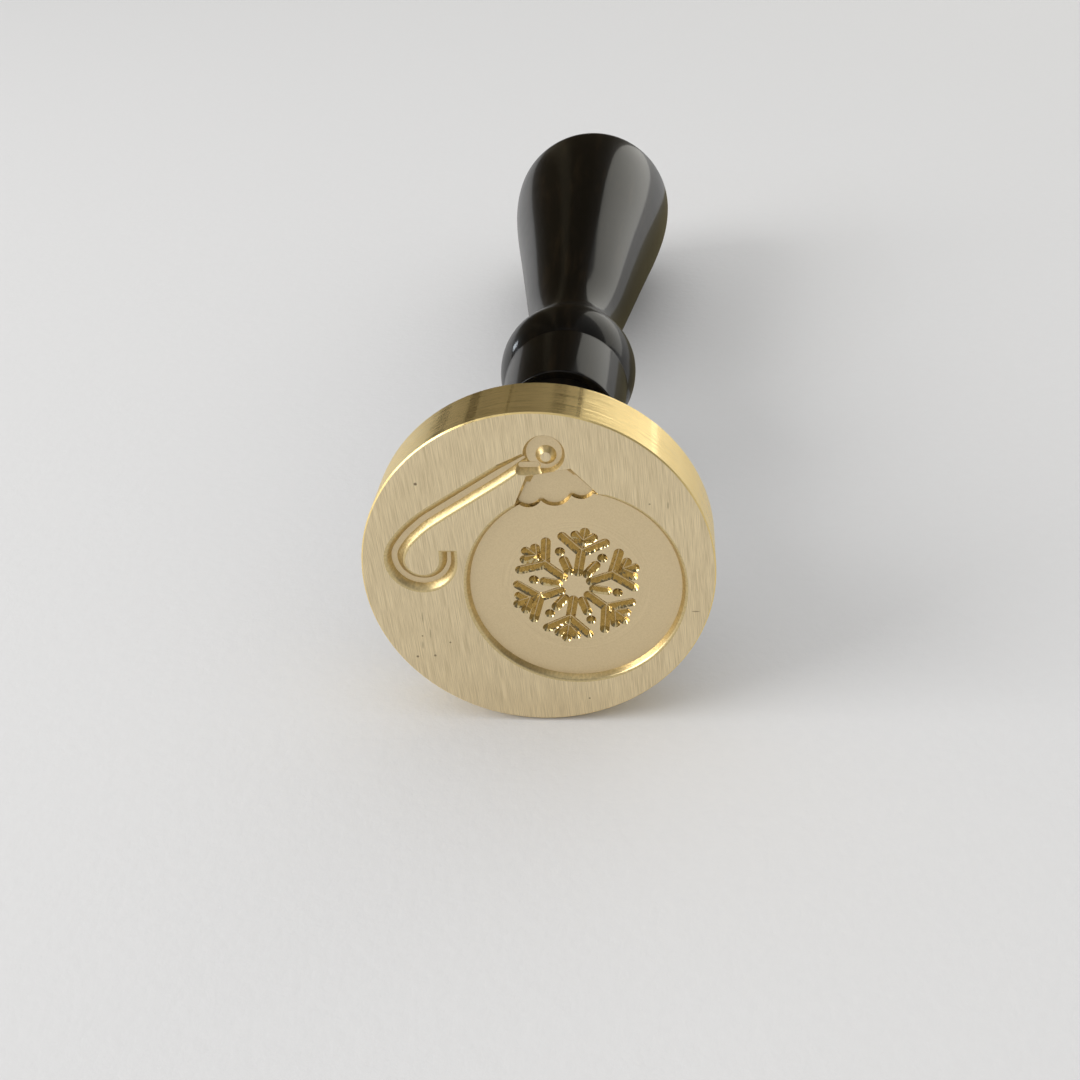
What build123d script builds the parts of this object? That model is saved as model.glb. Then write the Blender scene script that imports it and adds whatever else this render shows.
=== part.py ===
from build123d import *
import os
from math import cos, radians, sin, sqrt, tan

# Wax seal stamp: an engraved brass die screwed onto a turned wooden handle by a threaded stud. Millimetres.
# The origin is the centre of the die's face. +Y runs along the stamp's axis from the die into the handle,
# and +Z is up as the stamp lies on its side with the design upright.

# Die
die_diameter = 25.0
die_thickness = 5.0
die_edge_break = 0.1

# Engraving, with places on the face given as (right, up) from its centre
bauble_place = (2.64, -1.23)
bauble_diameter = 15.56
bauble_depth = 0.5
bauble_lean = 10.4
wall_lean = 27.0
cap_shift = 0.15
cap_bottom_reach = 7.15
cap_height = 2.26
cap_top_width = 3.1
cap_bottom_width = 6.0
cap_depth = 0.78
scallop_edges = (-2.62, -1.06, 1.08, 2.7)
scallop_radii = (1.0, 1.26, 1.0)
ring_diameter = 2.85
ring_depth = 0.4
ring_overlap = 0.06
island_diameter = 1.42
island_shift = (0.09, -0.21)
island_lean = 42.0
hook_start = (-0.4, 9.08)
hook_slope = 33.0
hook_straight = 8.56
hook_shoulder = ((-8.49, 3.66), (-9.22, 2.94), (-9.8, 2.16))
hook_bend_centre = (-8.18, 1.18)
hook_bend_radius = 1.95
hook_tip_length = 0.62
hook_ring_width = 0.9
hook_width = 1.17
hook_tip_width = 1.0
hook_taper_in = 0.12
hook_taper_out = 0.8
hook_depth = 0.5
hook_wall_lean = 37.0
hook_stations = 36
link_start = (-0.755, 8.405)
link_end = (0.3, 8.405)
link_width = 1.15

# Snowflake cut into the bauble's floor, with distances along an arm from its centre
flake_turn = 80.0
flake_arms = 6
flake_depth = 0.45
flake_wall_lean = 36.0
groove_width = 0.7
stem_start = 1.15
stem_end = 3.0
branch_start = 2.75
branch_length = 1.85
branch_spread = 54.0
lobe_start = 3.55
lobe_length = 0.83
lobe_spread = 48.0
tip_end = 4.45
petal_start = 1.3
petal_end = 2.25
dot_distance = 3.0
dot_diameter = 0.72

# Stud: a machine screw into the die and a wood screw into the handle
machine_diameter = 6.0
machine_pitch = 1.0
machine_thread_depth = 0.55
machine_crest = 0.125
engaged_length = 3.25
wood_screw_diameter = 6.0
wood_screw_pitch = 2.5
wood_thread_depth = 0.9
wood_screw_length = 15.0
wood_screw_crest = 0.3

# Handle: lengths along the axis from its foot to its crown, and radii
foot_radius = 7.5
foot_height = 3.4
foot_rounding = 0.9
waist_start_radius = 6.3
waist_radius = 4.7
waist_end_radius = 4.4
waist_length = 16.2
lip_radius = 5.05
lip_rounding = 0.15
collar_front_length = 8.0
collar_front_bulge = 0.05
bead_start_radius = 5.53
bead_length = 3.9
collar_radius = 6.2
collar_back_length = 5.7
neck_run = 1.8
neck_radius = 4.3
grip_length = 43.0
grip_radius = 9.18
crown_height = 8.0

# Curves of the turning, each point a share of the length and a share of the change in radius
collar_back_curve = ((0.76, 0.87),)
grip_curve = ((0.2, 0.164), (0.56, 0.584), (0.84, 0.906))
crown_shoulder_angle = 45.0

# Clearances
thread_clearance = 0.05
die_hole_end_clearance = 0.25
handle_bore_end_clearance = 1.0

# How far cutters stand out of the surface that they cut, and how closely an edge's radius must match
overcut = 0.2
radius_match = 0.0001

# Stations along the axis, worked out from the lengths above
foot_seat = die_thickness
foot_top = foot_seat + foot_height
lip = foot_top + waist_length
bead_start = lip + collar_front_length
collar_swell = bead_start + bead_length
neck = collar_swell + collar_back_length + neck_run
grip_swell = neck + grip_length
crown = grip_swell + crown_height

# How far the hanging ring's centre stands from the bauble's
ring_reach = cap_bottom_reach + cap_height + ring_diameter / 2 - ring_overlap

# The die is drawn with its face on local XY, local Y up and local Z out of the face
die_frame = Plane(origin=(0, 0, 0), x_dir=(1, 0, 0), z_dir=(0, -1, 0)).location


def frustum(place, top_radius, depth, lean, level=0.0):
    """A round pocket cutter whose wall leans outwards, cut down from the given level."""
    slope = tan(radians(lean))
    low_radius = top_radius - depth * slope
    high_radius = top_radius + overcut * slope
    body = Cone(low_radius, high_radius, depth + overcut, align=(Align.CENTER, Align.CENTER, Align.MIN))
    return Pos(place[0], place[1], level - depth) * body


def groove(path, width, depth, lean, level=0.0):
    """A groove cutter of even width along a path on the face, with round ends and leaning walls."""
    slope = tan(radians(lean))
    floor = SlotArc(path, width - 2 * depth * slope).face()
    mouth = SlotArc(path, width + 2 * overcut * slope).face()
    return Pos(0, 0, level) * loft([Pos(0, 0, -depth) * floor, Pos(0, 0, overcut) * mouth], ruled=True)


def polar(distance, angle, origin=(0.0, 0.0)):
    """A point on the face at a distance and angle from another."""
    return (origin[0] + distance * cos(radians(angle)), origin[1] + distance * sin(radians(angle)))


def cap_cutter():
    """The bauble's cap: a tapered skirt, deeper than the bauble, upright about the bauble's centre."""
    slope = tan(radians(wall_lean))
    bottom = cap_bottom_reach
    top = bottom + cap_height

    def outline(level, grow):
        """The skirt's trapezium at a level, with its sides and top moved outwards."""
        low = cap_bottom_width / 2 + grow
        high = cap_top_width / 2 + grow
        corners = ((-low, bottom), (low, bottom), (high, top + grow), (-high, top + grow))
        return Pos(cap_shift, 0, level) * make_face(Polyline(*corners, close=True))

    return loft([outline(-cap_depth, -cap_depth * slope), outline(overcut, overcut * slope)], ruled=True)


def scallop_cutters():
    """The round lobes of the cap's lower edge, cut from the bauble's floor down to the cap's."""
    step = cap_depth - bauble_depth
    cutters = []
    for left, right, radius in zip(scallop_edges, scallop_edges[1:], scallop_radii):
        reach = cap_bottom_reach + sqrt(radius**2 - ((right - left) / 2) ** 2)
        place = (cap_shift + (left + right) / 2, reach)
        cutters.append(frustum(place, radius, step, wall_lean, -bauble_depth))
    return cutters


def ring_cutter():
    """The bauble's hanging ring: a round pocket that leaves a small cone standing in it."""
    pocket = frustum((cap_shift, ring_reach), ring_diameter / 2, ring_depth, wall_lean)
    base_radius = island_diameter / 2
    peak_radius = base_radius - ring_depth * tan(radians(island_lean))
    island = Cone(base_radius, peak_radius, ring_depth, align=(Align.CENTER, Align.CENTER, Align.MIN))
    tower = Cylinder(peak_radius, overcut, align=(Align.CENTER, Align.CENTER, Align.MIN))
    middle = Pos(cap_shift + island_shift[0], ring_reach + island_shift[1], 0)
    return pocket - middle * Pos(0, 0, -ring_depth) * island - middle * tower


def hook_widths(narrowing):
    """The hook's width at even stations: slim at the ring, full along the run and slim at the tip."""
    widths = []
    for i in range(hook_stations + 1):
        share = i / hook_stations
        swell = min(1, share / hook_taper_in)
        shrink = max(0, (share - hook_taper_out) / (1 - hook_taper_out))
        width = hook_ring_width + (hook_width - hook_ring_width) * swell
        width += (hook_tip_width - hook_width) * shrink
        widths.append(width - narrowing)
    return widths


def tapered_outline(path, widths, level):
    """A closed outline of changing width along a path on the face, at a level."""
    left = []
    right = []
    for i, width in enumerate(widths):
        along = path.length * i / (len(widths) - 1)
        spot = path.position_at(along, position_mode=PositionMode.LENGTH)
        ahead = path.tangent_at(along, position_mode=PositionMode.LENGTH)
        side = Vector(-ahead.Y, ahead.X, 0) * (width / 2)
        left.append(spot + side)
        right.append(spot - side)
    right.reverse()
    edges = [Spline(*left), Line(left[-1], right[0]), Spline(*right), Line(right[-1], left[0])]
    return Pos(0, 0, level) * make_face(edges)


def hook_cutter():
    """The ornament hook: a straight run down from the ring, a shoulder, a round bend and a short tip."""
    run_angle = 180 + hook_slope
    run_end = polar(hook_straight, run_angle, hook_start)
    bend_start = polar(hook_bend_radius, 180, hook_bend_centre)
    bend_end = polar(hook_bend_radius, 0, hook_bend_centre)
    tip = polar(hook_tip_length, 90, bend_end)
    path = Wire([
        Line(hook_start, run_end).edge(),
        Spline(run_end, *hook_shoulder, bend_start, tangents=[polar(1, run_angle), (0, -1)]).edge(),
        CenterArc(hook_bend_centre, hook_bend_radius, 180, 180).edge(),
        Line(bend_end, tip).edge(),
    ])
    slope = tan(radians(hook_wall_lean))
    floor = tapered_outline(path, hook_widths(2 * hook_depth * slope), -hook_depth)
    mouth = tapered_outline(path, hook_widths(-2 * overcut * slope), overcut)
    return loft([floor, mouth], ruled=True)


def flake_cutter():
    """A six-armed snowflake: stems with side branches and three-lobed tips, and petals and dots between."""
    shape = (groove_width, flake_depth, flake_wall_lean, -bauble_depth)
    between = 180 / flake_arms
    branch_root = (branch_start, 0)
    lobe_root = (lobe_start, 0)
    strokes = [((stem_start, 0), (stem_end, 0)), (lobe_root, (tip_end, 0))]
    strokes.append((polar(petal_start, between), polar(petal_end, between)))
    for side in (1, -1):
        strokes.append((branch_root, polar(branch_length, side * branch_spread, branch_root)))
        strokes.append((lobe_root, polar(lobe_length, side * lobe_spread, lobe_root)))
    cuts = [groove(Line(start, end).edge(), *shape) for start, end in strokes]
    dot = frustum(polar(dot_distance, between), dot_diameter / 2, *shape[1:])
    arm = dot.fuse(*cuts)
    return [Rot(0, 0, flake_turn + 2 * between * i) * arm for i in range(flake_arms)]


def make_die():
    """The brass die with its engraved face and the tapped hole in its back."""
    disc = Cylinder(die_diameter / 2, die_thickness, align=(Align.CENTER, Align.CENTER, Align.MAX))
    disc = chamfer(disc.edges(), die_edge_break)
    lean = Rot(0, 0, bauble_lean)
    upright = Pos(bauble_place[0], bauble_place[1], 0)
    cutters = [
        frustum(bauble_place, bauble_diameter / 2, bauble_depth, wall_lean),
        upright * lean * cap_cutter(),
        upright * lean * ring_cutter(),
        hook_cutter(),
        groove(Line(link_start, link_end).edge(), link_width, hook_depth, hook_wall_lean),
    ]
    cutters += [upright * lean * scallop for scallop in scallop_cutters()]
    cutters += [upright * arm for arm in flake_cutter()]
    hole_radius = machine_diameter / 2 + thread_clearance
    hole_depth = engaged_length + die_hole_end_clearance
    hole = Cylinder(hole_radius, hole_depth, align=(Align.CENTER, Align.CENTER, Align.MIN))
    cutters.append(Pos(0, 0, -die_thickness) * hole)
    for cutter in cutters:
        disc = disc - cutter
    return die_frame * disc


def thread_ridges(start, length, radius, depth, pitch, crest):
    """Points (radius, station) of evenly spaced thread ridges along a length of the stud."""
    root = radius - depth
    count = int(length / pitch)
    first = start + (length - count * pitch) / 2
    points = [(root, start)]
    for i in range(count):
        middle = first + (i + 0.5) * pitch
        flank = (pitch - crest) / 2
        points += [(root, middle - flank - crest / 4), (radius, middle - crest / 2)]
        points += [(radius, middle + crest / 2), (root, middle + flank + crest / 4)]
    return points + [(root, start + length)]


def make_stud():
    """The stud: finer machine threads in the die and coarser wood threads in the handle."""
    tip = foot_seat - engaged_length
    tail = foot_seat + wood_screw_length
    machine = (machine_diameter / 2, machine_thread_depth, machine_pitch, machine_crest)
    wood = (wood_screw_diameter / 2, wood_thread_depth, wood_screw_pitch, wood_screw_crest)
    outline = [(0, tip)] + thread_ridges(tip, engaged_length, *machine)
    outline += thread_ridges(foot_seat, wood_screw_length, *wood) + [(0, tail)]
    return revolve(make_face(Polyline(*outline, close=True)), Axis.Y)


def turned_curve(start, end, curve):
    """A smooth turned curve between two (radius, station) ends, running along the axis at both."""
    swell = end[0] - start[0]
    length = end[1] - start[1]
    inner = [(start[0] + rise * swell, start[1] + run * length) for run, rise in curve]
    return Spline(start, *inner, end, tangents=[(0, 1), (0, 1)])


def ring_edge(body, radius, station):
    """The circular edge of a turned body with the given radius, at the given station."""
    circles = body.edges().filter_by(GeomType.CIRCLE)
    rings = circles.filter_by(lambda ring: abs(ring.radius - radius) < radius_match)
    return rings.sort_by(lambda ring: abs(ring.center().Y - station))[0]


def make_handle():
    """The turned handle: foot, waist, collar with lip and bead, neck, pear grip, crown and bore."""
    waist_middle = (waist_radius, (foot_top + lip) / 2)
    front_middle = ((lip_radius + bead_start_radius) / 2 + collar_front_bulge, (lip + bead_start) / 2)
    shoulder = radians(crown_shoulder_angle)
    crown_shoulder = (grip_radius * cos(shoulder), grip_swell + crown_height * sin(shoulder))
    waist_start = (waist_start_radius, foot_top)
    waist_end = (waist_end_radius, lip)
    bead_foot = (bead_start_radius, bead_start)
    lines = [
        Polyline((0, foot_seat), (foot_radius, foot_seat), (foot_radius, foot_top), waist_start),
        ThreePointArc(waist_start, waist_middle, waist_end),
        Line(waist_end, (lip_radius, lip)),
        ThreePointArc((lip_radius, lip), front_middle, bead_foot),
        TangentArc((collar_radius, collar_swell), bead_foot, tangent=(0, -1)),
        turned_curve((collar_radius, collar_swell), (neck_radius, neck), collar_back_curve),
        turned_curve((neck_radius, neck), (grip_radius, grip_swell), grip_curve),
        Spline((grip_radius, grip_swell), crown_shoulder, (0, crown), tangents=[(0, 1), (-1, 0)]),
        Line((0, crown), (0, foot_seat)),
    ]
    body = revolve(make_face(lines), Axis.Y)
    foot_edges = [ring_edge(body, foot_radius, station) for station in (foot_seat, foot_top)]
    body = fillet(foot_edges, foot_rounding)
    body = fillet(ring_edge(body, lip_radius, lip), lip_rounding)
    bore_radius = wood_screw_diameter / 2 + thread_clearance
    bore_depth = wood_screw_length + handle_bore_end_clearance
    bore = Cylinder(bore_radius, bore_depth, align=(Align.CENTER, Align.CENTER, Align.MAX))
    return body - Pos(0, foot_seat, 0) * Rot(90, 0, 0) * bore


os.makedirs("parts", exist_ok=True)
parts = {"seal_head": make_die(), "threaded_stud": make_stud(), "handle": make_handle()}
for name, solid in parts.items():
    export_step(solid, f"parts/{name}.step")
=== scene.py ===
from math import cos, pi, radians, sin, tan

import bmesh
import bpy
import numpy as np
from bpy.props import FloatProperty, FloatVectorProperty, IntProperty, PointerProperty
from mathutils import Matrix, Vector


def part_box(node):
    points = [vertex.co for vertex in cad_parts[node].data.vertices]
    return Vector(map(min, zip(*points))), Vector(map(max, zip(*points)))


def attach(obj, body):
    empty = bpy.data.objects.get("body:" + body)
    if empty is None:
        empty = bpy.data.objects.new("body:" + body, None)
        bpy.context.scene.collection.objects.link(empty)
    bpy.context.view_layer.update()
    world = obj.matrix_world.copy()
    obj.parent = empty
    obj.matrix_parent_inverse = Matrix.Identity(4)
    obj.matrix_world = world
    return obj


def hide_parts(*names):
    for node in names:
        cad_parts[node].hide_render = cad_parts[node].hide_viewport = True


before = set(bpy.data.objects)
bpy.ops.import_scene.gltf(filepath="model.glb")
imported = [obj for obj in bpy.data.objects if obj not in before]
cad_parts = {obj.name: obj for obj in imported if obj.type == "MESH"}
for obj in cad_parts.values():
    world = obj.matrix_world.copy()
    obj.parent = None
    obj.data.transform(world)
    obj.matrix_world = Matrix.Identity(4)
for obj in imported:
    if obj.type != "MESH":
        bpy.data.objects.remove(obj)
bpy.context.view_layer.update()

bl_info = {
    "name": "Wax seal stamp",
    "version": (1, 0, 0),
    "blender": (4, 5, 0),
    "location": "View3D > Sidebar > Stamp",
    "description": "Dresses the packed frame of a wax seal stamp: brass die, steel stud and lacquered handle",
    "category": "Object",
}

MM = 0.001
HEAD_LOW, HEAD_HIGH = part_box("seal_head")
STUD_LOW, STUD_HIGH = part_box("threaded_stud")
HANDLE_LOW, HANDLE_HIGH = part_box("handle")
SAME_PLACE = 1e-7

# Where the engraving lies on the die's face, and how its brinks are rounded.
BAUBLE_CENTRE = Vector((2.64, -1.23)) * MM
BAUBLE_RADIUS = 7.78 * MM
HOOK_END = -0.95 * MM
BRINK_ROUNDING = 0.15 * MM
ENGRAVING_DEPTH = 1.2 * MM
RIM_WIDTH = 0.3 * MM

# Finishes of the die's zones, in the order of its materials.
FACE, RIM, FLOOR, WALL = range(4)

# Depths of the marks on each surface, in metres.
BRUSH_DEPTH = 2.5e-6
TURNING_DEPTH = 0.8e-6
MILLING_DEPTH = 4e-6
CHATTER_DEPTH = 4.5e-5
LACQUER_DEPTH = 6e-6
PLATING_DEPTH = 3e-6
PAPER_DEPTH = 4e-5


def length(name, description, default):
    """A size in metres that a user may change."""
    return FloatProperty(name=name, description=description, default=default, unit="LENGTH", precision=6)


def share(name, description, default):
    """A plain number from 0 to 1."""
    return FloatProperty(name=name, description=description, default=default, min=0, max=1, subtype="FACTOR")


def colour(name, description, default):
    """A linear colour."""
    return FloatVectorProperty(
        name=name, description=description, default=default, size=3, min=0, max=1, subtype="COLOR")


def angle(name, description, default):
    """An angle, given in degrees and kept in radians."""
    return FloatProperty(
        name=name, description=description, default=radians(default), unit="ROTATION", subtype="ANGLE")


class HandleShape(bpy.types.PropertyGroup):
    """Sizes of the turned handle, from its seat on the die to its crown."""
    seat: length("Seat", "Where the foot sits on the die's back", HANDLE_LOW.y)
    foot_radius: length("Foot radius", "Radius of the foot disc", 7.5 * MM)
    foot_height: length("Foot height", "Thickness of the foot disc", 3.4 * MM)
    foot_rounding: length("Foot rounding", "Rounding of the foot's two edges", 0.9 * MM)
    waist_start_radius: length("Waist start", "Radius where the waist leaves the foot", 6.3 * MM)
    waist_radius: length("Waist", "Radius at the middle of the waist", 4.7 * MM)
    waist_end_radius: length("Waist end", "Radius where the waist meets the collar's lip", 4.4 * MM)
    waist_length: length("Waist length", "Length of the hollow waist", 16.2 * MM)
    lip_radius: length("Lip radius", "Radius of the collar's front lip", 5.05 * MM)
    lip_rounding: length("Lip rounding", "Rounding of the lip's edge", 0.15 * MM)
    collar_front_length: length("Collar front", "Length from the collar's lip to its bead", 8.0 * MM)
    collar_front_bulge: length("Collar bulge", "How far that front stands out of a straight cone", 0.05 * MM)
    bead_start_radius: length("Bead start", "Radius where the bead rises from the collar's front", 5.53 * MM)
    bead_length: length("Bead length", "Length from there to the bead's widest place", 3.9 * MM)
    bead_blend: length("Bead blend", "Rounding of the crease in front of the bead", 0.5 * MM)
    collar_radius: length("Collar radius", "Widest radius of the collar, on its bead", 6.2 * MM)
    collar_back_length: length("Collar back", "Length from the widest place towards the neck", 5.7 * MM)
    neck_run: length("Neck run", "Extra length over which the collar runs into the neck", 1.8 * MM)
    neck_radius: length("Neck radius", "Radius of the slim neck", 4.3 * MM)
    grip_length: length("Grip length", "Length from the neck to the pear's widest place", 43.0 * MM)
    grip_radius: length("Grip radius", "Widest radius of the pear", HANDLE_HIGH.x)
    crown_top: length("Crown", "Where the handle ends", HANDLE_HIGH.y - 0.001 * MM)
    bore_radius: length("Bore radius", "Radius of the hole for the stud", 3.05 * MM)
    bore_depth: length("Bore depth", "Depth of the hole for the stud", 16.0 * MM)
    segments: IntProperty(name="Segments", description="Faces round the handle", default=180, min=24)


class StudShape(bpy.types.PropertyGroup):
    """Sizes of the stud: a machine thread in the die and a coarser wood thread in the handle."""
    tip: length("Tip", "Where the machine thread begins", STUD_LOW.y)
    tail: length("Tail", "Where the wood thread ends", STUD_HIGH.y)
    machine_radius: length("Machine radius", "Outer radius of the machine thread", STUD_HIGH.x)
    machine_depth: length("Machine depth", "Depth of the machine thread", 0.55 * MM)
    machine_pitch: length("Machine pitch", "Lead of the machine thread", 1.0 * MM)
    wood_radius: length("Wood radius", "Outer radius of the wood thread", STUD_HIGH.x)
    wood_depth: length("Wood depth", "Depth of the wood thread", 0.9 * MM)
    wood_pitch: length("Wood pitch", "Lead of the wood thread", 2.5 * MM)
    segments: IntProperty(name="Segments", description="Faces round the stud", default=72, min=12)
    rings: IntProperty(name="Rings", description="Faces along the stud", default=300, min=40)


class BrassFinish(bpy.types.PropertyGroup):
    """Colours and tool marks of the brass die."""
    face_light: colour("Face light", "Bright brush lines on the face", (0.84, 0.70, 0.45))
    face_dark: colour("Face dark", "Dull brush lines on the face", (0.62, 0.505, 0.315))
    rim_colour: colour("Rim", "Polished rim", (0.92, 0.715, 0.32))
    floor_light: colour("Recess light", "Milled floor of the recesses", (0.76, 0.625, 0.395))
    floor_dark: colour("Recess dark", "Milling marks on that floor", (0.66, 0.53, 0.325))
    wall_colour: colour("Cut walls", "Walls left by the engraving tool", (0.69, 0.545, 0.28))
    brush_width: length("Brush width", "Width of the brush lines", 0.05 * MM)
    brush_length: length("Brush length", "Length of the brush lines", 2.2 * MM)
    brush_lean: angle("Brush lean", "Lean of the brush lines from upright", 4.0)
    face_roughness: share("Face roughness", "Roughness of the brushed face", 0.36)
    rim_roughness: share("Rim roughness", "Roughness of the polished rim", 0.05)
    floor_roughness: share("Recess roughness", "Roughness of the milled floor", 0.46)
    wall_roughness: share("Wall roughness", "Roughness of the cut walls", 0.06)


class LacquerFinish(bpy.types.PropertyGroup):
    """The handle's black lacquer, with a trace of the wood below it."""
    black: colour("Black", "The lacquer's own colour", (0.0022, 0.0018, 0.0012))
    grain: colour("Grain", "Where the brown wood shows through", (0.009, 0.006, 0.003))
    grain_width: length("Grain width", "Width of the streaks", 1.2 * MM)
    grain_length: length("Grain length", "Length of the streaks", 30.0 * MM)
    roughness: share("Roughness", "Roughness of the lacquer", 0.3)
    gloss: share("Gloss roughness", "Roughness of the lacquer's top coat", 0.09)


class SteelFinish(bpy.types.PropertyGroup):
    """Zinc plated steel of the stud."""
    steel: colour("Steel", "Bright zinc", (0.72, 0.72, 0.70))
    shade: colour("Shade", "Dull zinc", (0.55, 0.55, 0.54))
    roughness: share("Roughness", "Roughness of the plating", 0.3)


class StageSetup(bpy.types.PropertyGroup):
    """Floor, lights and camera."""
    floor_colour: colour("Floor", "Pale floor", (0.61, 0.607, 0.604))
    floor_size: length("Floor size", "Half the width of the floor", 1.6)
    contact_station: length("Contact", "Where the die's back edge stands on the floor", 4.85 * MM)
    floor_tilt: angle("Floor tilt", "Rise of the floor towards the grip, which lies on it", 2.30)
    focal_length: FloatProperty(name="Lens", description="Focal length in millimetres", default=47.67, min=10)
    camera_place: FloatVectorProperty(
        name="Camera", description="Camera position", default=(9.09 * MM, -85.77 * MM, 51.61 * MM),
        size=3, subtype="TRANSLATION", unit="LENGTH")
    camera_ahead: FloatVectorProperty(
        name="View", description="Direction of view", default=(-0.0886, 0.8658, -0.4926),
        size=3, subtype="DIRECTION")
    camera_up: FloatVectorProperty(
        name="Up", description="Upwards in the picture", default=(0.0, 0.4945, 0.8692),
        size=3, subtype="DIRECTION")


class Wire:
    """A node socket that works in plain arithmetic, in a shader tree or a geometry tree."""

    def __init__(self, tree, socket=None):
        self.tree = tree
        self.socket = socket

    def node(self, kind, settings=None, inputs=None, output=0):
        """Adds a node: first its settings, then the values or links of its inputs."""
        made = self.tree.nodes.new(kind)
        for key, value in (settings or {}).items():
            setattr(made, key, value)
        for key, value in (inputs or {}).items():
            if isinstance(value, Wire):
                self.tree.links.new(value.socket, made.inputs[key])
            else:
                made.inputs[key].default_value = value
        return Wire(self.tree, made.outputs[output] if len(made.outputs) else None)

    def math(self, operation, *values, clamp=False):
        settings = {"operation": operation, "use_clamp": clamp}
        return self.node("ShaderNodeMath", settings, dict(enumerate(values)))

    def __add__(self, other):
        return self.math("ADD", self, other)

    def __radd__(self, other):
        return self.math("ADD", other, self)

    def __sub__(self, other):
        return self.math("SUBTRACT", self, other)

    def __rsub__(self, other):
        return self.math("SUBTRACT", other, self)

    def __mul__(self, other):
        return self.math("MULTIPLY", self, other)

    def __rmul__(self, other):
        return self.math("MULTIPLY", other, self)

    def __truediv__(self, other):
        return self.math("DIVIDE", self, other)

    def clamped(self):
        return self.math("ADD", self, 0.0, clamp=True)

    def ramp(self, low, high):
        """0 below low, 1 above high, eased between them."""
        inputs = {"Value": self, "From Min": low, "From Max": high}
        return self.node("ShaderNodeMapRange", {"interpolation_type": "SMOOTHSTEP"}, inputs)

    def axes(self):
        """The three numbers of a vector."""
        return self.node("ShaderNodeSeparateXYZ", None, {0: self}).all_outputs()

    def all_outputs(self):
        """Every output of the node that this one belongs to."""
        return [Wire(self.tree, out) for out in self.socket.node.outputs]

    def vector(self, x, y, z):
        return self.node("ShaderNodeCombineXYZ", None, {0: x, 1: y, 2: z})

    def noise(self, place, detail=2.0, roughness=0.5):
        inputs = {"Vector": place, "Scale": 1.0, "Detail": detail, "Roughness": roughness}
        return self.node("ShaderNodeTexNoise", None, inputs)

    def blend(self, factor, first, second):
        """A colour between two others."""
        shades = [c if isinstance(c, Wire) else (*c, 1.0) for c in (first, second)]
        inputs = {0: factor, 6: shades[0], 7: shades[1]}
        return self.node("ShaderNodeMix", {"data_type": "RGBA"}, inputs, 2)

    def bump(self, height, depth):
        """A surface normal from a plain height and the depth in metres that a height of 1 stands for."""
        return self.node("ShaderNodeBump", None, {"Strength": 1.0, "Distance": depth, "Height": height})


def finish(name, paint, **fixed):
    """A material whose varying inputs come from paint, and whose even ones are set on the shader."""
    material = bpy.data.materials.new(name)
    material.use_nodes = True
    tree = material.node_tree
    tree.nodes.clear()
    wire = Wire(tree)
    place = wire.node("ShaderNodeTexCoord", None, None, "Object")
    inputs = paint(wire, place)
    for key, value in fixed.items():
        inputs[key.replace("_", " ").title().replace("Ior", "IOR")] = value
    shader = wire.node("ShaderNodeBsdfPrincipled", None, inputs)
    wire.node("ShaderNodeOutputMaterial", None, {"Surface": shader})
    return material


# Pits and scratches of the face: place across and up, half width and half height in mm, and darkness.
FACE_MARKS = (
    (-8.05, 7.2, 0.12, 0.12, 0.8), (-9.1, -7.0, 0.1, 0.1, 0.75), (-7.8, -6.9, 0.1, 0.1, 0.7),
    (-6.6, -5.75, 0.08, 0.08, 0.7), (-8.6, -5.2, 0.07, 0.07, 0.7), (3.4, -10.6, 0.08, 0.08, 0.7),
    (7.9, 5.6, 0.07, 0.07, 0.6), (11.1, -3.0, 0.3, 0.05, 0.6), (9.15, 5.5, 0.05, 0.3, 0.5),
    (-8.45, -3.6, 0.06, 0.5, 0.35), (-8.0, -5.0, 0.06, 0.45, 0.35), (-8.65, -6.0, 0.08, 0.35, 0.3),
)
PIT_COLOUR = (0.12, 0.08, 0.045)


def brushed_brass(brass):
    """The flat face: fine, nearly upright brush lines, with a few small pits and scratches."""
    def paint(wire, place):
        x, _, z = place.axes()
        lean_across, lean_along = cos(brass.brush_lean), sin(brass.brush_lean)
        across = x * lean_across + z * lean_along
        along = z * lean_across - x * lean_along
        width, run = brass.brush_width, brass.brush_length
        fine = wire.noise(wire.vector(across / width, along / run, 0.0), 3.0, 0.6)
        broad = wire.noise(wire.vector(across / (7 * width), along / (3 * run), 4.0))
        lines = (fine * 0.82 + broad * 0.18).ramp(0.34, 0.66)
        pits = None
        for px, pz, half_across, half_up, depth in FACE_MARKS:
            dx = (x - px * MM) / (half_across * MM)
            dz = (z - pz * MM) / (half_up * MM)
            spot = depth * (1.0 - (dx * dx + dz * dz).ramp(0.2, 1.4))
            pits = spot if pits is None else pits + spot
        metal = wire.blend(lines, brass.face_dark, brass.face_light)
        return {
            "Base Color": wire.blend(pits, metal, PIT_COLOUR),
            "Roughness": brass.face_roughness + 0.1 * (1.0 - lines),
            "Normal": wire.bump(lines - pits, BRUSH_DEPTH),
        }
    return finish("brushed_brass", paint, metallic=1.0)


# Buffed bands across the rim: degrees clockwise from its top, half width in degrees, and strength.
RIM_BANDS = (
    (-30.0, 2.5, 0.6), (-19.0, 2.0, 1.0), (-7.1, 0.5, 0.8),
    (8.5, 2.6, 0.6), (15.0, 0.8, 1.0), (41.0, 1.5, 0.4),
    (96.0, 2.0, 0.5), (141.0, 3.0, 0.6), (205.0, 2.0, 0.5),
)


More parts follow.
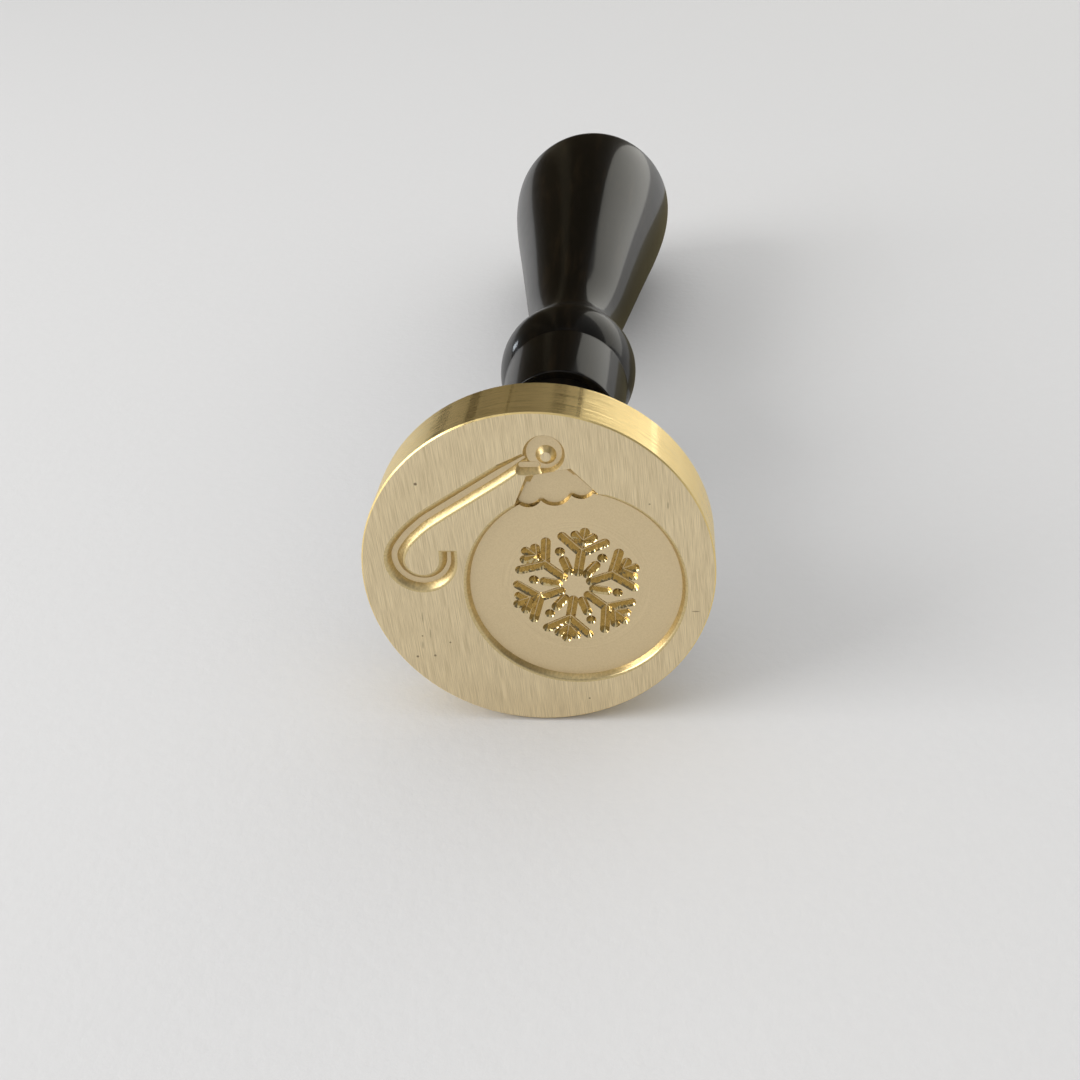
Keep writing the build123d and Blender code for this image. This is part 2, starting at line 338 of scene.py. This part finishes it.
def polished_brass(brass):
    """The turned rim and back: fine lines round the axis, and bands across them that are buffed brighter."""
    line_width, hair_width = 0.09 * MM, 0.012 * MM

    def paint(wire, place):
        x, y, z = place.axes()
        turn = wire.math("ARCTAN2", z, x)
        reach = wire.math("SQRT", x * x + z * z)
        outer = reach.ramp(HEAD_HIGH.x - RIM_WIDTH, HEAD_HIGH.x - RIM_WIDTH / 2)
        across = y + reach
        lines = wire.noise(wire.vector(across / line_width, turn * 1.5, 0.0), 3.0, 0.6)
        hairs = wire.noise(wire.vector(across / hair_width, turn * 2.0, 5.0))
        cloud = wire.noise(wire.vector(x / (2.5 * MM), y / (1.2 * MM), z / (2.5 * MM)))
        bands = 0.15 * cloud
        for from_top, half_width, strength in RIM_BANDS:
            half = radians(half_width)
            away = wire.math("WRAP", turn - radians(90.0 - from_top), pi, -pi)
            near = 1.0 - wire.math("ABSOLUTE", away).ramp(0.4 * half, 1.3 * half)
            bands = bands + strength * outer * near
        dull = (hairs - 0.1 * bands.clamped()).ramp(0.37, 0.45)
        deep = [0.9 * c for c in brass.rim_colour]
        return {
            "Base Color": wire.blend(lines, deep, brass.rim_colour),
            "Roughness": brass.rim_roughness + 0.06 * cloud + 0.42 * dull,
            "Normal": wire.bump(lines, TURNING_DEPTH),
        }
    return finish("polished_brass", paint, metallic=1.0)


def milled_brass(brass):
    """The recess floors: matt, with faint round tool marks about the snowflake."""
    grain_size, ring_width, ring_radius = 0.09 * MM, 0.12 * MM, 4.9 * MM

    def paint(wire, place):
        x, y, z = place.axes()
        dx, dz = x - BAUBLE_CENTRE.x, z - BAUBLE_CENTRE.y
        reach = wire.math("SQRT", dx * dx + dz * dz)
        grain = wire.noise(wire.vector(x / grain_size, y / grain_size, z / grain_size), 3.0, 0.65)
        rings = wire.noise(wire.vector(reach / ring_width, wire.math("ARCTAN2", dz, dx) * 0.8, 0.0))
        near = 1.0 - wire.math("ABSOLUTE", reach - ring_radius).ramp(0.1 * MM, 0.9 * MM)
        marks = grain * 0.7 + rings * near * 0.6 + 0.3 * (1.0 - near) - 0.15
        return {
            "Base Color": wire.blend(marks.ramp(0.25, 0.75), brass.floor_dark, brass.floor_light),
            "Roughness": brass.floor_roughness + 0.1 * grain,
            "Normal": wire.bump(marks, MILLING_DEPTH),
        }
    return finish("milled_brass", paint, metallic=1.0)


def cut_brass(brass):
    """The engraved walls with chatter marks: bright in the snowflake, satin on the bauble and beyond it."""
    def paint(wire, place):
        x, y, z = place.axes()
        chatter = wire.noise(wire.vector(x / (0.16 * MM), y / (0.5 * MM), z / (0.16 * MM)), 2.0, 0.6)
        dx, dz = x - BAUBLE_CENTRE.x, z - BAUBLE_CENTRE.y
        reach = wire.math("SQRT", dx * dx + dz * dz)
        apart = reach.ramp(7.3 * MM, 7.5 * MM)
        beyond = reach.ramp(8.1 * MM, 8.4 * MM)
        steps = wire.noise(wire.vector(x / (0.3 * MM), y / (0.6 * MM), z / (0.3 * MM)), 1.0, 0.5)
        height = 0.08 * chatter + steps * (1.0 - apart + 0.25 * beyond)
        deep = [0.8 * c for c in brass.wall_colour]
        return {
            "Base Color": wire.blend(chatter.ramp(0.3, 0.7), deep, brass.wall_colour),
            "Roughness": brass.wall_roughness + 0.08 * chatter + 0.2 * apart + 0.1 * beyond,
            "Normal": wire.bump(height, CHATTER_DEPTH),
        }
    return finish("cut_brass", paint, metallic=1.0)


def black_lacquer(lacquer):
    """Gloss black over brown wood, with faint streaks along the grain."""
    def paint(wire, place):
        x, y, z = place.axes()
        width, run = lacquer.grain_width, lacquer.grain_length
        streaks = wire.noise(wire.vector(x / width, y / run, z / width), 4.0, 0.6)
        pores = wire.noise(wire.vector(x / (0.25 * MM), y / (5 * MM), z / (0.25 * MM)), 2.0)
        film = wire.noise(wire.vector(x / (3 * MM), y / (6 * MM), z / (3 * MM)), 3.0)
        return {
            "Base Color": wire.blend(streaks.ramp(0.5, 0.75), lacquer.black, lacquer.grain),
            "Roughness": lacquer.roughness + 0.1 * film,
            "Coat Weight": 0.31 + 0.08 * film,
            "Normal": wire.bump(streaks * 0.7 + pores * 0.3, LACQUER_DEPTH),
        }
    return finish("black_lacquer", paint, specular_ior_level=0.05, coat_roughness=lacquer.gloss, coat_ior=1.5)


def zinc_steel(steel):
    """Plated steel with a soft crystal bloom."""
    crystal = 0.5 * MM

    def paint(wire, place):
        x, y, z = place.axes()
        bloom = wire.noise(wire.vector(x / crystal, y / crystal, z / crystal), 3.0)
        return {
            "Base Color": wire.blend(bloom.ramp(0.3, 0.7), steel.shade, steel.steel),
            "Roughness": steel.roughness + 0.15 * bloom,
            "Normal": wire.bump(bloom, PLATING_DEPTH),
        }
    return finish("zinc_steel", paint, metallic=1.0)


def pale_floor(stage):
    """Plain pale paper."""
    fibre_size = 0.9 * MM

    def paint(wire, place):
        x, y, z = place.axes()
        fibre = wire.noise(wire.vector(x / fibre_size, y / fibre_size, z / fibre_size), 3.0, 0.6)
        shade = [0.97 * c for c in stage.floor_colour]
        return {
            "Base Color": wire.blend(fibre, shade, stage.floor_colour),
            "Roughness": 0.75 + 0.1 * fibre,
            "Normal": wire.bump(fibre, PAPER_DEPTH),
        }
    return finish("pale_floor", paint, specular_ior_level=0.25)


def add_piece(name, mesh):
    """Links a finished mesh as an object at the origin."""
    piece = bpy.data.objects.new(name, mesh)
    bpy.context.scene.collection.objects.link(piece)
    return piece


def soften(mesh, crease):
    """Outward, smooth shading with sharp edges above the crease angle."""
    work = bmesh.new()
    work.from_mesh(mesh)
    bmesh.ops.remove_doubles(work, verts=work.verts, dist=SAME_PLACE)
    bmesh.ops.recalc_face_normals(work, faces=work.faces)
    work.to_mesh(mesh)
    work.free()
    mesh.polygons.foreach_set("use_smooth", [True] * len(mesh.polygons))
    mesh.set_sharp_from_angle(angle=crease)


def head_zone(centre, normal):
    """Which finish a face of the die takes."""
    level = -normal.y > 0.995
    reach = Vector((centre.x, centre.z)).length
    if level and centre.y < 0.02 * MM:
        return FACE
    if reach > HEAD_HIGH.x - RIM_WIDTH or centre.y > ENGRAVING_DEPTH:
        return RIM
    return FLOOR if level else WALL


def is_brink(edge):
    """Whether an edge lies where the bauble's or the hook's wall meets the flat face."""
    if {face.material_index for face in edge.link_faces} != {FACE, WALL}:
        return False
    beyond = [(Vector((v.co.x, v.co.z)) - BAUBLE_CENTRE).length - BAUBLE_RADIUS for v in edge.verts]
    on_bauble = all(abs(gap) < 0.05 * MM for gap in beyond)
    on_hook = all(gap > 0.3 * MM for gap in beyond) and all(v.co.x < HOOK_END for v in edge.verts)
    return on_bauble or on_hook


def engraved_head(name, materials):
    """A clean copy of the die's solid, with rounded brinks and a finish for each of its zones."""
    mesh = bpy.data.meshes.new(name)
    work = bmesh.new()
    work.from_mesh(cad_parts["seal_head"].data)
    bmesh.ops.remove_doubles(work, verts=work.verts, dist=SAME_PLACE)
    bmesh.ops.dissolve_limit(work, angle_limit=radians(0.5), verts=work.verts, edges=work.edges)
    for face in work.faces:
        face.material_index = head_zone(face.calc_center_median(), face.normal)
    brinks = [edge for edge in work.edges if is_brink(edge)]
    bmesh.ops.bevel(
        work, geom=brinks, offset=BRINK_ROUNDING, segments=4, profile=0.5, affect="EDGES", material=WALL)
    work.to_mesh(mesh)
    work.free()
    if "custom_normal" in mesh.attributes:
        mesh.attributes.remove(mesh.attributes["custom_normal"])
    for material in materials:
        mesh.materials.append(material)
    mesh.polygons.foreach_set("use_smooth", [True] * len(mesh.polygons))
    mesh.set_sharp_from_angle(angle=radians(22))
    return mesh


def turned_curve(points, ahead=(0, 1), beyond=(0, 1), steps=18):
    """A smooth curve through (radius, station) points, with the given directions at its ends."""
    knots = np.array(points, float)
    gaps = np.linalg.norm(np.diff(knots, axis=0), axis=1)
    count = len(knots)
    system = np.eye(count)
    known = np.zeros((count, 2))
    known[0], known[-1] = ahead, beyond
    for i in range(1, count - 1):
        before, after = gaps[i - 1], gaps[i]
        system[i, i - 1:i + 2] = after, 2 * (before + after), before
        known[i] = 3 * (after / before * (knots[i] - knots[i - 1])
                        + before / after * (knots[i + 1] - knots[i]))
    slopes = np.linalg.solve(system, known)
    path = []
    for i, gap in enumerate(gaps):
        for t in np.linspace(0, 1, steps, endpoint=False):
            path.append((1 + 2 * t) * (1 - t) ** 2 * knots[i] + t * (1 - t) ** 2 * gap * slopes[i]
                        + t * t * (3 - 2 * t) * knots[i + 1] + t * t * (t - 1) * gap * slopes[i + 1])
    return path + [knots[-1]]


def arc_through(first, middle, last, steps=20):
    """Points on the arc through three (radius, station) points."""
    a, b, c = (complex(*p) for p in (first, middle, last))
    w = (c - a) / (b - a)
    centre = (b - a) * (w - abs(w) ** 2) / (2j * w.imag) + a
    start, end = a - centre, c - centre
    sweep = np.angle(end / start)
    return [np.array((p.real, p.imag)) for p in
            (centre + start * np.exp(1j * sweep * t) for t in np.linspace(0, 1, steps))]


def rounded(first, second, radius, steps=6):
    """Joins two paths that meet at a corner, with the corner rounded off."""
    first, second = [np.array(p, float) for p in first], [np.array(p, float) for p in second]
    corner = first[-1]
    into = (corner - first[-2]) / np.linalg.norm(corner - first[-2])
    out = (second[1] - corner) / np.linalg.norm(second[1] - corner)
    turn = np.arccos(np.clip(into @ out, -1, 1))
    reach = radius * tan(turn / 2)
    start, end = corner - into * reach, corner + out * reach
    weight = cos(turn / 2)
    bend = []
    for t in np.linspace(0, 1, steps):
        a, b, c = (1 - t) ** 2, 2 * weight * t * (1 - t), t * t
        bend.append((a * start + b * corner + c * end) / (a + b + c))
    kept = [p for p in first[:-1] if np.linalg.norm(p - corner) > reach]
    rest = [p for p in second[1:] if np.linalg.norm(p - corner) > reach]
    return kept + bend + rest


def handle_profile(shape):
    """The handle's outline as (radius, station) points, from the end of its bore round to its crown."""
    foot_top = shape.seat + shape.foot_height
    lip = foot_top + shape.waist_length
    bead = lip + shape.collar_front_length
    collar = bead + shape.bead_length
    neck = collar + shape.collar_back_length + shape.neck_run
    grip = neck + shape.grip_length
    bore_end = shape.seat + shape.bore_depth

    def between(start, end, run, rise):
        """A point at a share of the run along the axis and a share of the rise in radius."""
        return (start[0] + rise * (end[0] - start[0]), start[1] + run * (end[1] - start[1]))

    bead_point, collar_point = (shape.bead_start_radius, bead), (shape.collar_radius, collar)
    neck_point, grip_point = (shape.neck_radius, neck), (shape.grip_radius, grip)
    crown_point = (0.0, shape.crown_top)
    shoulder = (shape.grip_radius * cos(pi / 4), grip + (shape.crown_top - grip) * sin(pi / 4))
    waist_end, lip_point = (shape.waist_end_radius, lip), (shape.lip_radius, lip)
    bore = [(0.0, bore_end), (shape.bore_radius, bore_end), (shape.bore_radius, shape.seat)]
    seat_edge, foot_edge = (shape.foot_radius, shape.seat), (shape.foot_radius, foot_top)
    waist_start = (shape.waist_start_radius, foot_top)
    path = bore + [seat_edge]
    path = rounded(path, [seat_edge, foot_edge], shape.foot_rounding)
    path = rounded(path, [foot_edge, waist_start], shape.foot_rounding)
    path += arc_through(waist_start, (shape.waist_radius, (foot_top + lip) / 2), waist_end)[1:]
    front_radius = (shape.lip_radius + shape.bead_start_radius) / 2 + shape.collar_front_bulge
    front = arc_through(lip_point, (front_radius, (lip + bead) / 2), bead_point)
    path = rounded(path + [lip_point], front, shape.lip_rounding)
    beyond = (shape.bead_start_radius, 2 * collar - bead)
    swell = arc_through(bead_point, collar_point, beyond, 41)[:21]
    path = rounded(path, swell, shape.bead_blend)
    neck_share = (0.76, 0.87)
    path += turned_curve([collar_point, between(collar_point, neck_point, *neck_share), neck_point])[1:]
    grip_shares = ((0.2, 0.164), (0.56, 0.584), (0.84, 0.906))
    swelling = [between(neck_point, grip_point, *pair) for pair in grip_shares]
    path += turned_curve([neck_point, *swelling, grip_point])[1:]
    path += turned_curve([grip_point, shoulder, crown_point], beyond=(-1, 0))[1:]
    return [Vector((max(p[0], 0.0), min(p[1], shape.crown_top), 0.0)) for p in path]


def socket_in(tree, name, kind, default=None):
    """A named input of a node tree, with its default."""
    made = tree.interface.new_socket(name=name, in_out="INPUT", socket_type="NodeSocket" + kind)
    if default is not None:
        made.default_value = default
    return made


def grown_mesh(name, tree, base, values):
    """Runs a geometry tree on a base mesh and returns its result as a plain mesh."""
    carrier = add_piece(name, base)
    modifier = carrier.modifiers.new(tree.name, "NODES")
    modifier.node_group = tree
    for item in tree.interface.items_tree:
        if item.in_out == "INPUT" and item.name in values:
            modifier[item.identifier] = values[item.name]
    depsgraph = bpy.context.evaluated_depsgraph_get()
    mesh = bpy.data.meshes.new_from_object(carrier.evaluated_get(depsgraph), depsgraph=depsgraph)
    mesh.name = name
    bpy.data.objects.remove(carrier)
    return mesh


def begin_tree(name):
    """A geometry tree with its first input and its output."""
    tree = bpy.data.node_groups.new(name, "GeometryNodeTree")
    tree.interface.new_socket(name="Geometry", in_out="OUTPUT", socket_type="NodeSocketGeometry")
    socket_in(tree, "Geometry", "Geometry")
    socket_in(tree, "Segments", "Int", 64)
    socket_in(tree, "Material", "Material")
    return tree


def end_tree(wire, mesh, given, place):
    """Moves the grid into its round form, closes its seam and gives it its material."""
    moved = wire.node("GeometryNodeSetPosition", None, {"Geometry": mesh, "Position": place})
    closed = wire.node("GeometryNodeMergeByDistance", None, {"Geometry": moved, "Distance": SAME_PLACE})
    smooth = wire.node("GeometryNodeSetShadeSmooth", None, {"Geometry": closed})
    real = wire.node("GeometryNodeRealizeInstances", None, {"Geometry": smooth})
    inked = wire.node("GeometryNodeSetMaterial", None, {"Geometry": real, "Material": given["Material"]})
    wire.node("NodeGroupOutput", None, {"Geometry": inked})


def group_inputs(wire):
    """The tree's inputs by name."""
    outputs = wire.node("NodeGroupInput").all_outputs()
    return {out.socket.name: out for out in outputs if out.socket.name}


def turned_form_tree():
    """Turns the points of a wire outline, given as radius and station, round the stamp's axis."""
    tree = begin_tree("turned_form")
    wire = Wire(tree)
    given = group_inputs(wire)
    points = wire.node(
        "GeometryNodeAttributeDomainSize", {"component": "MESH"}, {"Geometry": given["Geometry"]})
    sides = given["Segments"] + 1
    grid = wire.node("GeometryNodeMeshGrid", None,
                     {"Size X": 1.0, "Size Y": 1.0, "Vertices X": points, "Vertices Y": sides})
    here = wire.node("GeometryNodeInputPosition")
    along, round_share, _ = here.axes()
    ring = wire.math("ROUND", (along + 0.5) * (points - 1))
    outline = wire.node("GeometryNodeSampleIndex", {"data_type": "FLOAT_VECTOR", "domain": "POINT"},
                        {"Geometry": given["Geometry"], "Value": here, "Index": ring})
    radius, station, _ = outline.axes()
    turn = (round_share + 0.5) * (2 * pi)
    place = wire.vector(radius * wire.math("COSINE", turn), station, radius * wire.math("SINE", turn))
    end_tree(wire, grid, given, place)
    return tree


def threaded_stud_tree():
    """A round bar with a helical machine thread up to the seat and a helical wood thread beyond it."""
    tree = begin_tree("threaded_stud")
    names = ("Tip", "Seat", "Tail")
    names += tuple(f"{end} {size}" for end in ("Machine", "Wood") for size in ("radius", "depth", "pitch"))
    for name in names:
        socket_in(tree, name, "Float", 1.0)
    socket_in(tree, "Rings", "Int", 100)
    wire = Wire(tree)
    given = group_inputs(wire)
    grid = wire.node("GeometryNodeMeshGrid", None, {
        "Size X": 1.0, "Size Y": 1.0, "Vertices X": given["Rings"], "Vertices Y": given["Segments"] + 1})
    along, round_share, _ = wire.node("GeometryNodeInputPosition").axes()
    station = given["Tip"] + (along + 0.5) * (given["Tail"] - given["Tip"])
    turn_share = round_share + 0.5
    crest, fade_share, end_share = 0.1, 0.6, 0.4999

    def thread(end, start, stop):
        """Radius of one thread: a blunt triangle wave that climbs a pitch each turn and fades at its ends."""
        pitch = given[f"{end} pitch"]
        run = pitch * fade_share
        phase = wire.math("FRACT", (station - start) / pitch + turn_share + 8.0)
        flank = wire.math("ABSOLUTE", phase * 2.0 - 1.0)
        ridge = ((1.0 - flank) * (1.0 + 2.0 * crest) - crest).clamped()
        fade = ((station - start) / run).clamped() * ((stop - station) / run).clamped()
        return given[f"{end} radius"] - given[f"{end} depth"] * (1.0 - ridge * fade)

    machine = thread("Machine", given["Tip"], given["Seat"])
    wood = thread("Wood", given["Seat"], given["Tail"])
    in_die = wire.math("LESS_THAN", station, given["Seat"])
    inside = wire.math("LESS_THAN", wire.math("ABSOLUTE", along), end_share)
    radius = (in_die * machine + (1.0 - in_die) * wood) * inside
    turn = turn_share * (2 * pi)
    place = wire.vector(radius * wire.math("COSINE", turn), station, radius * wire.math("SINE", turn))
    end_tree(wire, grid, given, place)
    return tree


class STAMP_OT_seal_head(bpy.types.Operator):
    """Build the engraved brass die"""
    bl_idname = "stamp.seal_head"
    bl_label = "Seal head"

    def execute(self, context):
        brass = context.scene.stamp_brass
        materials = [make(brass) for make in (brushed_brass, polished_brass, milled_brass, cut_brass)]
        mesh = engraved_head("engraved_seal_head", materials)
        piece = add_piece("engraved_seal_head", mesh)
        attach(piece, "die")
        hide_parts("seal_head")
        return {"FINISHED"}


class STAMP_OT_handle(bpy.types.Operator):
    """Build the turned and lacquered handle"""
    bl_idname = "stamp.handle"
    bl_label = "Handle"

    def execute(self, context):
        shape = context.scene.stamp_handle
        outline = handle_profile(shape)
        base = bpy.data.meshes.new("handle_outline")
        base.from_pydata(outline, [(i, i + 1) for i in range(len(outline) - 1)], [])
        lacquer = black_lacquer(context.scene.stamp_lacquer)
        values = {"Segments": shape.segments, "Material": lacquer}
        mesh = grown_mesh("turned_handle", turned_form_tree(), base, values)
        soften(mesh, radians(40))
        piece = add_piece("turned_handle", mesh)
        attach(piece, "handle")
        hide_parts("handle")
        return {"FINISHED"}


class STAMP_OT_stud(bpy.types.Operator):
    """Build the stud with its two helical threads"""
    bl_idname = "stamp.stud"
    bl_label = "Stud"

    def execute(self, context):
        stud = context.scene.stamp_stud
        steel = zinc_steel(context.scene.stamp_steel)
        values = {
            "Segments": stud.segments, "Rings": stud.rings, "Material": steel,
            "Tip": stud.tip, "Tail": stud.tail, "Seat": context.scene.stamp_handle.seat,
            "Machine radius": stud.machine_radius, "Machine depth": stud.machine_depth,
            "Machine pitch": stud.machine_pitch, "Wood radius": stud.wood_radius,
            "Wood depth": stud.wood_depth, "Wood pitch": stud.wood_pitch,
        }
        base = bpy.data.meshes.new("stud_base")
        mesh = grown_mesh("screw_stud", threaded_stud_tree(), base, values)
        soften(mesh, radians(50))
        piece = add_piece("screw_stud", mesh)
        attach(piece, "stud")
        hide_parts("threaded_stud")
        return {"FINISHED"}


# Soft lamps: name, place, width, height, radiance and tint.
LAMPS = (
    ("overhead", (0.0, -0.05, 0.6), 0.5, 0.5, 0.5, (1.0, 1.0, 1.0)),
    ("window", (-0.52, -0.21, 0.29), 0.42, 0.34, 6.0, (1.0, 1.0, 1.0)),
    ("ahead_right", (0.3, 0.6, 0.19), 0.55, 0.32, 1.35, (1.0, 0.975, 0.87)),
    ("far_window", (-0.42, 0.48, 0.07), 0.05, 0.07, 9.0, (0.85, 0.92, 1.0)),
)
LAMP_AIM = Vector((0.0, 0.03, 0.0))

# Outlines of the cards: the dark one upright, across and up, and the olive one, a painted shadow of the
# handle on the floor, flat, across and along.
DARK_OUTLINE = ((-0.85, 0.0), (0.1, 0.0), (0.1, 0.75), (-0.85, 0.75))
DARK_STATION = 0.52
SHADOW_CARD_OUTLINE = ((0.006, 0.05), (0.022, 0.05), (0.038, 0.078), (0.038, 0.13), (0.006, 0.13))
SHADOW_CARD_LIFT = 0.3 * MM
CARD_ROUGHNESS = 0.9

# Radiance of the surroundings: what the floor receives, and what gloss mirrors.
FILL = (0.82, 0.82, 0.823)
HORIZON = (0.78, 0.78, 0.785)
ABOVE_AHEAD = (0.16, 0.16, 0.165)
ABOVE_BEHIND = (0.42, 0.42, 0.42)


def soft_lamp(name, place, width, height, radiance, tint):
    """A rectangular soft light, as bright as a surface of the given radiance."""
    lamp = bpy.data.lights.new(name, "AREA")
    lamp.shape = "RECTANGLE"
    lamp.size, lamp.size_y = width, height
    lamp.energy = radiance * pi * width * height
    lamp.color = tint
    holder = bpy.data.objects.new(name, lamp)
    bpy.context.scene.collection.objects.link(holder)
    holder.location = place
    holder.rotation_euler = (LAMP_AIM - Vector(place)).to_track_quat("-Z", "Y").to_euler()
    holder.visible_camera = False


def floor_height(stage, station):
    """Height of the tilted floor at a station along the stamp."""
    return HEAD_LOW.z + (station - stage.contact_station) * tan(stage.floor_tilt)


def flag_card(name, corners, paint):
    """A card that only gloss mirrors."""
    mesh = bpy.data.meshes.new(name)
    mesh.from_pydata(corners, [], [range(len(corners))])
    mesh.materials.append(finish(name, paint, specular_ior_level=0.1))
    card = add_piece(name, mesh)
    card.visible_camera = False
    card.visible_diffuse = False
    card.visible_shadow = False


def flag_cards(stage):
    """A dark card ahead on the left, and a small olive card beside the grip that is a painted shadow: it lies
    where the handle's shadow falls on the floor. The gloss mirrors both.
    """
    def dark(wire, place):
        x, y, z = place.axes()
        nap = wire.noise(wire.vector(x / (4 * MM), y, z / (4 * MM)))
        fold = 1.0 - wire.math("ABSOLUTE", x + 0.12 + 0.1 * z).ramp(0.01, 0.045)
        edge = 1.0 - wire.math("ABSOLUTE", x + 0.32).ramp(0.02, 0.06)
        shade = wire.blend(fold + 0.6 * edge, (0.04, 0.026, 0.009), (0.14, 0.115, 0.07))
        return {"Base Color": wire.blend(nap * 0.2, shade, (0.03, 0.028, 0.026)), "Roughness": CARD_ROUGHNESS}

    # Painted shadow: a dark olive card, seen only by gloss, that stands in for the handle's shadow on the
    # floor beside the grip.
    def shadow_card_paint(wire, place):
        x, y, z = place.axes()
        nap = wire.noise(wire.vector(x / (2 * MM), y / (2 * MM), z / (2 * MM)))
        shade = wire.blend(nap, (0.2, 0.17, 0.09), (0.24, 0.205, 0.11))
        return {"Base Color": shade, "Roughness": CARD_ROUGHNESS}

    upright = [(x, DARK_STATION, floor_height(stage, DARK_STATION) + z) for x, z in DARK_OUTLINE]
    flat = [(x, y, floor_height(stage, y) + SHADOW_CARD_LIFT) for x, y in SHADOW_CARD_OUTLINE]
    flag_card("dark_card", upright, dark)
    flag_card("painted_shadow_card", flat, shadow_card_paint)


def studio_world(scene):
    """Pale round the horizon and dimmer above for what mirrors it, and an even fill for the floor."""
    world = bpy.data.worlds.new("studio")
    scene.world = world
    world.use_nodes = True
    tree = world.node_tree
    tree.nodes.clear()
    wire = Wire(tree)
    _, y, z = wire.node("ShaderNodeTexCoord", None, None, "Generated").axes()
    behind = (0.0 - y).ramp(0.2, 0.8)
    above = wire.blend(behind, ABOVE_AHEAD, ABOVE_BEHIND)
    sky = wire.blend(z.ramp(0.02, 0.4), HORIZON, above)
    rays = ("Is Camera Ray", "Is Glossy Ray", "Is Transmission Ray")
    camera, glossy, through = (wire.node("ShaderNodeLightPath", None, None, ray) for ray in rays)
    seen = (camera + glossy + through).clamped()
    radiance = wire.blend(seen, FILL, sky)
    light = wire.node("ShaderNodeBackground", None, {"Color": radiance, "Strength": 1.0})
    wire.node("ShaderNodeOutputWorld", None, {"Surface": light})


def add_floor(stage):
    """The pale floor, tilted so that the die's back edge and the grip both lie on it."""
    reach = stage.floor_size
    sides = ((-reach, -reach), (reach, -reach), (reach, reach), (-reach, reach))
    mesh = bpy.data.meshes.new("floor")
    mesh.from_pydata([(x, y, floor_height(stage, y)) for x, y in sides], [], [(0, 1, 2, 3)])
    mesh.materials.append(pale_floor(stage))
    add_piece("floor", mesh)


def add_camera(scene, stage):
    """The camera, turned by its directions of view and upwards."""
    lens = bpy.data.cameras.new("camera")
    lens.lens = stage.focal_length
    lens.sensor_width = 36.0
    lens.clip_start = MM
    camera = bpy.data.objects.new("camera", lens)
    scene.collection.objects.link(camera)
    back = -Vector(stage.camera_ahead).normalized()
    right = Vector(stage.camera_up).cross(back).normalized()
    turn = Matrix((right, back.cross(right), back)).transposed().to_4x4()
    camera.matrix_world = Matrix.Translation(stage.camera_place) @ turn
    scene.camera = camera


class STAMP_OT_stage(bpy.types.Operator):
    """Set the floor, lights and camera"""
    bl_idname = "stamp.stage"
    bl_label = "Stage"

    def execute(self, context):
        scene = context.scene
        stage = scene.stamp_stage
        add_floor(stage)
        for lamp in LAMPS:
            soft_lamp(*lamp)
        flag_cards(stage)
        studio_world(scene)
        scene.view_settings.view_transform = "Standard"
        add_camera(scene, stage)
        return {"FINISHED"}


class STAMP_PT_panel(bpy.types.Panel):
    """The stamp's pieces in the sidebar"""
    bl_idname = "STAMP_PT_panel"
    bl_label = "Wax seal stamp"
    bl_space_type = "VIEW_3D"
    bl_region_type = "UI"
    bl_category = "Stamp"

    def draw(self, context):
        for operator in OPERATORS:
            self.layout.operator(operator.bl_idname)


GROUPS = {
    "stamp_handle": HandleShape,
    "stamp_stud": StudShape,
    "stamp_brass": BrassFinish,
    "stamp_lacquer": LacquerFinish,
    "stamp_steel": SteelFinish,
    "stamp_stage": StageSetup,
}
OPERATORS = (STAMP_OT_seal_head, STAMP_OT_handle, STAMP_OT_stud, STAMP_OT_stage)


def register():
    for name, group in GROUPS.items():
        bpy.utils.register_class(group)
        setattr(bpy.types.Scene, name, PointerProperty(type=group))
    for kind in (*OPERATORS, STAMP_PT_panel):
        bpy.utils.register_class(kind)


def unregister():
    for kind in reversed((*OPERATORS, STAMP_PT_panel)):
        bpy.utils.unregister_class(kind)
    for name, group in reversed(GROUPS.items()):
        delattr(bpy.types.Scene, name)
        bpy.utils.unregister_class(group)


def main():
    register()
    bpy.ops.stamp.seal_head()
    bpy.ops.stamp.handle()
    bpy.ops.stamp.stud()
    bpy.ops.stamp.stage()


if __name__ == "__main__":
    main()
